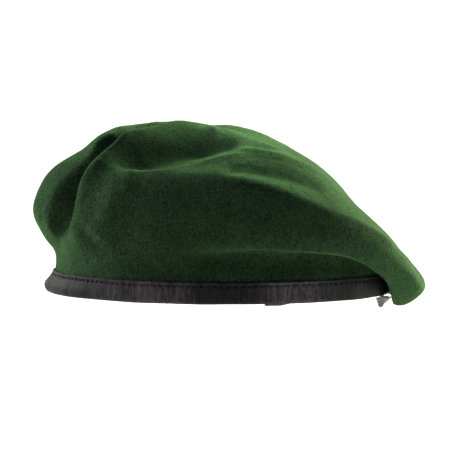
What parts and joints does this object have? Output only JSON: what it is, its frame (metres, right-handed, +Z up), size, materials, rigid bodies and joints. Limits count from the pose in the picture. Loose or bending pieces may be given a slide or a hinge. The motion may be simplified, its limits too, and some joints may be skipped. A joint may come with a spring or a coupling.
{
  "type": "military beret",
  "caption": "Seamless felt beret with a leather drawstring binding, its crown pulled down to the wearer's right and back.",
  "frame": {"origin": "centre of the head opening, in the plane of the binding's bottom edge", "axes": "+Z up, -X the wearer's front, +X the back, -Y the wearer's left, +Y the wearer's right"},
  "size_m": [0.2334, 0.2201, 0.1074],
  "materials": {
    "felt": "fuzzy wool felt",
    "leather": "satin, creased",
    "lining": "satin-woven cotton",
    "stiffener": "stiff buckram",
    "thread": "twisted thread",
    "tape": "ribbed woven tape",
    "label": "blank woven label",
    "eyelet": "black enamel, rubbed at the edges"
  },
  "bodies": {
    "hat": {"crown_shell": "felt", "badge_stiffener": "stiffener", "lining_side": "lining", "lining_crown": "lining", "size_label": "label", "label_stitches": "thread", "binding_long_strip": "leather", "binding_short_strip": "leather", "needle_thread_stitches": "thread", "bobbin_thread_stitches": "thread", "lap_stitches": "thread", "drawstring_loop": "tape", "drawstring_knot": "tape", "vent_eyelet_front": "eyelet", "vent_eyelet_rear": "eyelet", "eyelet_washer_front": "eyelet", "eyelet_washer_rear": "eyelet"},
    "left_tail": {"drawstring_tail_left": "tape"},
    "right_tail": {"drawstring_tail_right": "tape"}
  },
  "joints": [
    {"name": "left_tail_swing", "type": "hinge", "parent": "hat", "child": "left_tail", "pos_m": [0.09404, -0.0353, -0.0039], "axis": [1, 0, 0], "range_deg": [-45, 10]},
    {"name": "right_tail_swing", "type": "hinge", "parent": "hat", "child": "right_tail", "pos_m": [0.09613, -0.03097, -0.0039], "axis": [1, 0, 0], "range_deg": [-10, 45]}
  ]
}
